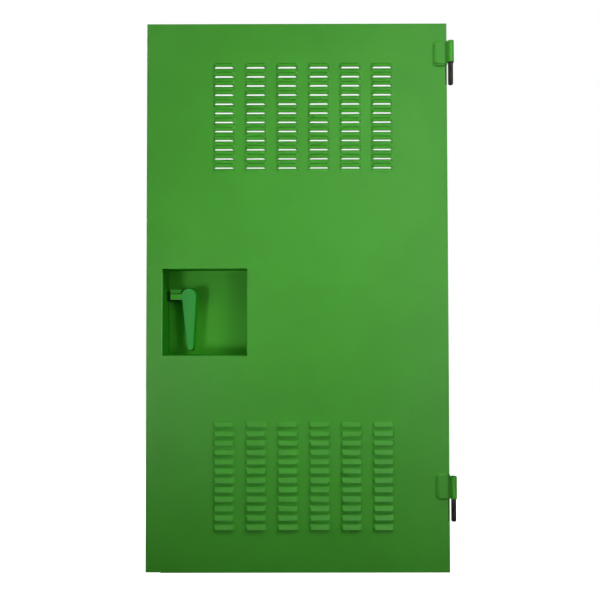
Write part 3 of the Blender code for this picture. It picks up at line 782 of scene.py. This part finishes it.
def make_nut():
    """A hexagon nut with both faces chamfered and a countersunk bore."""
    middle = (NUT_LOW.y + NUT_HIGH.y) / 2
    half = (NUT_HIGH.y - NUT_LOW.y) / 2
    flats = min(NUT_HIGH.x - NUT_LOW.x, NUT_HIGH.z - NUT_LOW.z) / 2
    face = flats * NUT_FACE
    bm = bmesh.new()

    def round_ring(radius, from_middle):
        return pivot_ring(bm, NUT_SIDES, lambda angle: (radius, middle + from_middle))

    def hexagon_ring(sign):
        def shape(angle):
            radius = flats / math.cos((angle + math.pi / 6) % (math.pi / 3) - math.pi / 6)
            return radius, middle + sign * (half - max(0.0, radius - face) * NUT_SLOPE)
        return pivot_ring(bm, NUT_SIDES, shape)

    rings = [round_ring(NUT_BORE, -half + NUT_SINK), round_ring(NUT_BORE + NUT_SINK, -half),
             round_ring(face, -half), hexagon_ring(-1), hexagon_ring(1), round_ring(face, half),
             round_ring(NUT_BORE + NUT_SINK, half), round_ring(NUT_BORE, half - NUT_SINK)]
    loft(bm, rings, hollow=True)
    soften(piece_from("hexagon_nut", bm, ZINC, "lever", ["spindle_nut"]), angle=25)


make_spindle()
make_nut()

# -------------------------------------------------------------------- hinges

HINGE_SIDES = 64
HINGE_BORE = 4.9 * MM           # radius
BARREL_BREAK = 0.8 * MM         # rounding of the barrel's ends
BARREL_SINK = 0.3 * MM          # chamfer of its bore
PIN_TIP = 1.3 * MM              # rounding of the pin's lower end
PIN_BREAK = 0.4 * MM            # chamfer of its upper end
LEAF_CORNER = 5.5 * MM
LEAF_EDGE = 0.7 * MM
FILLET_WIDTH = 4.0 * MM
FILLET_HEIGHT = 3.2 * MM
FILLET_STEP = 0.6 * MM
FILLET_OVERLAP = 0.6 * MM       # under the leaf's rounded edge
FILLET_ROOM = 0.3 * MM          # between the fillet's mean width and the leaf's box, for its waves
LEAF_ROOT = 4.8 * MM            # width of the thinner root between the leaf's face and the barrel
LEAF_ROOT_FRONT = -0.8 * MM
LEAF_ROOT_EDGE = 0.5 * MM


def hinge_rings(bm, profile):
    """Rings of vertices round the hinge axis from (radius, height) points."""
    return [[bm.verts.new((a, b, height)) for a, b in circle_points(radius, HINGE_SIDES)]
            for radius, height in profile]


def make_barrel(prefix):
    """A bored barrel with rounded ends; its lower end is painted dark as shade."""
    low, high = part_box(prefix + "_hinge_barrel")
    radius = (high.x - low.x) / 2
    ends = []
    for base, inwards in ((low.z, 1), (high.z, -1)):
        ends.append([(HINGE_BORE, base + inwards * BARREL_SINK), (HINGE_BORE + BARREL_SINK, base),
                     (radius - BARREL_BREAK, base),
                     (radius - BARREL_BREAK * 0.3, base + inwards * BARREL_BREAK * 0.3),
                     (radius, base + inwards * BARREL_BREAK)])
    bm = bmesh.new()
    loft(bm, hinge_rings(bm, ends[0] + ends[1][::-1]), hollow=True)
    node = prefix + "_hinge_barrel"
    # The barrel in the lighter green: painted light.
    barrel = piece_from(prefix + "_barrel", bm, BARREL_LIT_PAINT, "door", [node])
    barrel.data.materials.append(BOLT_STEEL_AND_SHADE)
    # Painted shade: the lower end in the dark steel.
    for face in barrel.data.polygons:
        if face.center.z < low.z + BARREL_BREAK:
            face.material_index = 1
    soften(barrel, angle=50)


def make_pin(prefix):
    """A bare pin, rounded below and pressed into the barrel above."""
    node = prefix + "_hinge_pin"
    low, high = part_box(node)
    radius = (high.x - low.x) / 2
    profile = [(radius - PIN_TIP, low.z), (radius - 0.15 * MM, low.z + PIN_TIP * 0.85),
               (radius, low.z + PIN_TIP * 1.15), (radius, high.z - PIN_BREAK), (radius - PIN_BREAK, high.z)]
    bm = bmesh.new()
    loft(bm, hinge_rings(bm, profile))
    soften(piece_from(prefix + "_pin", bm, PIN_STEEL, "door", [node]), angle=30)


def leaf_outline(left, right, bottom, top):
    """(place, outward direction) along a leaf's bottom, left and top edges."""
    spots = [(Vector((right, bottom)), Vector((0, -1)))]
    for corner_z, start in ((bottom + LEAF_CORNER, 270), (top - LEAF_CORNER, 180)):
        centre = Vector((left + LEAF_CORNER, corner_z))
        for place in arc_points(centre, LEAF_CORNER, start, start - 90, 12):
            spots.append((Vector(place), (Vector(place) - centre).normalized()))
    spots.append((Vector((right, top)), Vector((0, 1))))
    return spots


def refine(spots):
    """The same outline in steps of about FILLET_STEP."""
    fine = []
    for (a, out_a), (b, out_b) in zip(spots, spots[1:]):
        count = max(1, round((b - a).length / FILLET_STEP))
        for k in range(count):
            fine.append((a.lerp(b, k / count), out_a.lerp(out_b, k / count).normalized()))
    return fine + spots[-1:]


def fillet_section():
    """(outwards, forwards) from under the leaf's edge over the bulged slope to the sheet."""
    section = [(-FILLET_OVERLAP, 0), (-FILLET_OVERLAP, -FILLET_HEIGHT * 0.9)]
    for k in range(9):
        share = k / 8
        section.append((FILLET_WIDTH * share, -FILLET_HEIGHT * (1 - share ** 2.2) ** 0.6))
    return section


def leaf_fillet(name, spots):
    """The weld round a leaf, smoothed over by paint: a bulged slope from its edge to the sheet."""
    bm = bmesh.new()
    rings = []
    run = 0.0
    previous = spots[0][0]
    for spot, outward in refine(spots):
        run += (spot - previous).length
        previous = spot
        wave = 1 + 0.03 * math.sin(run * 1500) + 0.04 * math.sin(run * 410)
        ring = []
        for out, y in fillet_section():
            x, z = spot + outward * (out * wave if out > 0 else out)
            ring.append(bm.verts.new((x, y * wave, z)))
        rings.append(ring)
    loft(bm, rings)
    soften(piece_from(name, bm, PAINT, "door"), angle=60)


def make_leaf(prefix):
    """A thick plate with rounded left corners, set inside its weld, and its thinner welded root."""
    low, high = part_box(prefix + "_hinge_leaf")
    inset = FILLET_WIDTH + FILLET_ROOM
    bottom = low.z + inset
    top = high.z - inset
    right = high.x - LEAF_ROOT
    spots = leaf_outline(low.x + inset, right, bottom, top)
    plate = prism([tuple(spot) for spot, _ in spots], low.y, 0)
    leaf = piece_from(prefix + "_leaf", plate, PAINT, "door", [prefix + "_hinge_leaf"])
    soften(leaf, LEAF_EDGE)
    leaf_fillet(prefix + "_leaf_weld", spots)
    # The root and the weld beside the barrel in the darker green: painted shade in the valley.
    outline = rectangle(right - 1 * MM, high.x + 0.4 * MM, bottom - 2 * MM, top + 2 * MM)
    strip = prism(outline, LEAF_ROOT_FRONT, 0)
    root = piece_from(prefix + "_leaf_root", strip, ROOT_SHADE_PAINT, "door")
    soften(root, LEAF_ROOT_EDGE)
    x = high.x - 0.6 * MM
    y = LEAF_ROOT_FRONT + 0.3 * MM
    weld_bead(prefix + "_barrel_weld", (x, y, low.z + 4 * MM), (x, y, high.z - 4 * MM), 1.2 * MM, ROOT_SHADE_PAINT)


for hinge in HINGES:
    make_barrel(hinge)
    make_pin(hinge)
    make_leaf(hinge)

# ---------------------------------------------------------------------- seals

SEAL_STEP = 6 * MM
SEAL_SINK = 0.3 * MM            # how far the strip's glued face goes into the lip's paint


def seal_section(half, thick):
    """(across, depth) round a strip with rounded shoulders."""
    right = [(half, thick * 0.55), (half * 0.92, thick * 0.82), (half * 0.66, thick * 0.97)]
    left = [(-across, depth) for across, depth in reversed(right)]
    return [(-half, 0), (half, 0)] + right + [(0, thick)] + left


def make_seal(name):
    """Foam strip with rounded shoulders, a little uneven along its length."""
    low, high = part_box(name)
    size = high - low
    middle = (low + high) / 2
    upright = size.z > size.x
    length = size.z if upright else size.x
    section = seal_section((size.x if upright else size.z) / 2, size.y)
    count = round(length / SEAL_STEP)
    bm = bmesh.new()
    rings = []
    for k in range(count + 1):
        run = length * k / count
        wave = 1 - 0.035 * (1 + math.sin(run * 31) * math.sin(run * 12.7 + 1))
        ring = []
        for across, depth in section:
            y = low.y - SEAL_SINK + (depth + SEAL_SINK) * (wave if depth > 0 else 1)
            if upright:
                ring.append(bm.verts.new((middle.x + across * wave, y, low.z + run)))
            else:
                ring.append(bm.verts.new((low.x + run, y, middle.z + across * wave)))
        rings.append(ring)
    loft(bm, rings)
    soften(piece_from(name.replace("seal", "foam"), bm, FOAM, "door", [name]), angle=60)


for side in ("left", "right", "top", "bottom"):
    make_seal("seal_" + side)

# ------------------------------------------------------- CAD nodes that stay

DRESSED = (
    # node, look, width of its rounded edges in millimetres
    # the guide in the lighter green: painted light
    ("bolt_guide", GUIDE_LIT_PAINT, 0.4),
    ("bolt_wear_plate", PAINT, 0.3),
    ("slide_bolt", BOLT_STEEL_AND_SHADE, 0.5),
    ("pivot_bush", BRONZE, 0.3),
    ("spindle_washer", ZINC, 0.25),
    ("lever_spacer", ZINC, 0.3),
    ("crank_pin", BOLT_STEEL_AND_SHADE, 0.3),
    ("upper_hinge_doubler", PAINT, 0.5),
    ("lower_hinge_doubler", PAINT, 0.5),
)


def dress(name, look, width):
    """Give a carried-over node its material and softly rounded edges."""
    node = bpy.data.objects[name]
    if not node.data.materials:
        node.data.materials.append(look)
    for slot in node.material_slots:
        slot.material = look
    round_edges(node, width, 40)
    weight_normals(node)


def shade_guide_slit():
    """Painted shade on the bottom of the slit between the guide's two bars."""
    guide = bpy.data.objects["bolt_guide"]
    guide.data.materials.append(PAINTED_SHADE)
    for face in guide.data.polygons:
        centre = guide.matrix_world @ face.center
        if face.normal.y < -0.5 and centre.y > GUIDE_LOW.y + 2 * MM:
            face.material_index = len(guide.data.materials) - 1


for node_name, node_look, edge_mm in DRESSED:
    dress(node_name, node_look, edge_mm * MM)
shade_guide_slit()

# -------------------------------------------------------------------- stage

CAMERA_OFFSET = Vector((7.0, -1194.2, -35.1)) * MM      # from the door's centre
CAMERA_LENS = 39.42
CAMERA_TURN = math.radians(0.10)
CAMERA_PITCH = math.radians(90 + 1.31)
CAMERA_ROLL = math.radians(-0.11)
FLOOR_DROP = 0.35               # below the hanging door

MIDDLE = (0, 0, 0)
HINGE_SIDE = (0.1, 0, 0.17)     # a little to the right of the middle and above it
LAMPS = (
    # name, place and aim from the door's centre, size in metres, watts, spread in degrees
    ("key", (1.8, -1.7, 2.1), MIDDLE, 0.7, 26.2, 180),
    ("high_left", (-1.5, -1.7, 2.1), MIDDLE, 0.7, 9.9, 180),
    ("front", (0.4, -1.8, 0.7), MIDDLE, 0.7, 1.9, 180),
    ("right", (1.1, -1.8, 0.1), HINGE_SIDE, 0.4, 0.46, 75),
    ("low_right", (1.1, -1.8, -0.5), HINGE_SIDE, 0.4, 0.62, 75),
    ("low_left", (-1.1, -1.8, -0.5), HINGE_SIDE, 0.4, 0.50, 36),
    ("back_left", (-1.6, 1.8, 0.9), MIDDLE, 1.4, 26, 180),
    ("back_right", (1.6, 1.8, 0.5), MIDDLE, 1.4, 18, 180),
)


def area_light(name, offset, aim, size, power, spread):
    """A square soft light placed and aimed by offsets from the door's centre."""
    lamp = bpy.data.lights.new(name, "AREA")
    lamp.shape = "SQUARE"
    lamp.size = size
    lamp.energy = power
    lamp.spread = math.radians(spread)
    made = bpy.data.objects.new(name, lamp)
    made.location = DOOR_CENTRE + Vector(offset)
    towards = DOOR_CENTRE + Vector(aim) - made.location
    made.rotation_euler = towards.to_track_quat("-Z", "Y").to_euler()
    bpy.context.scene.collection.objects.link(made)


def make_camera():
    """Square in front of the door, a little below its middle, with a near-normal lens."""
    camera = bpy.data.cameras.new("camera")
    camera.lens = CAMERA_LENS
    camera.sensor_width = 36
    made = bpy.data.objects.new("camera", camera)
    made.location = DOOR_CENTRE + CAMERA_OFFSET
    level = Matrix.Rotation(CAMERA_TURN, 4, "Z")
    pitch = Matrix.Rotation(CAMERA_PITCH, 4, "X")
    roll = Matrix.Rotation(CAMERA_ROLL, 4, "Z")
    made.rotation_euler = (level @ pitch @ roll).to_euler()
    bpy.context.scene.collection.objects.link(made)
    bpy.context.scene.camera = made


def make_world():
    """White behind the object for the camera alone; the lamps do the lighting."""
    world = bpy.data.worlds.new("studio")
    world.use_nodes = True
    backdrop = world.node_tree.nodes["Background"]
    backdrop.inputs["Color"].default_value = (1, 1, 1, 1)
    backdrop.inputs["Strength"].default_value = 1.0
    bpy.context.scene.world = world
    world.cycles_visibility.diffuse = False
    world.cycles_visibility.glossy = False
    bpy.context.scene.view_settings.view_transform = "Standard"


def make_floor():
    """A pale floor well below the hanging door, bright enough to merge with the backdrop."""
    bm = bmesh.new()
    bmesh.ops.create_grid(bm, x_segments=1, y_segments=1, size=6)
    floor = object_from("floor", bm, False)
    look, _, shader = new_material("floor_white")
    shader.inputs["Base Color"].default_value = (0.9, 0.9, 0.9, 1)
    shader.inputs["Roughness"].default_value = 0.9
    shader.inputs["Emission Color"].default_value = (1, 1, 1, 1)
    shader.inputs["Emission Strength"].default_value = 1.0
    floor.data.materials.append(look)
    floor.location = (DOOR_CENTRE.x, 0, DOOR_BOTTOM - FLOOR_DROP)
    floor.visible_diffuse = False
    floor.visible_glossy = False


make_camera()
make_world()
make_floor()
for lamp_row in LAMPS:
    area_light(*lamp_row)
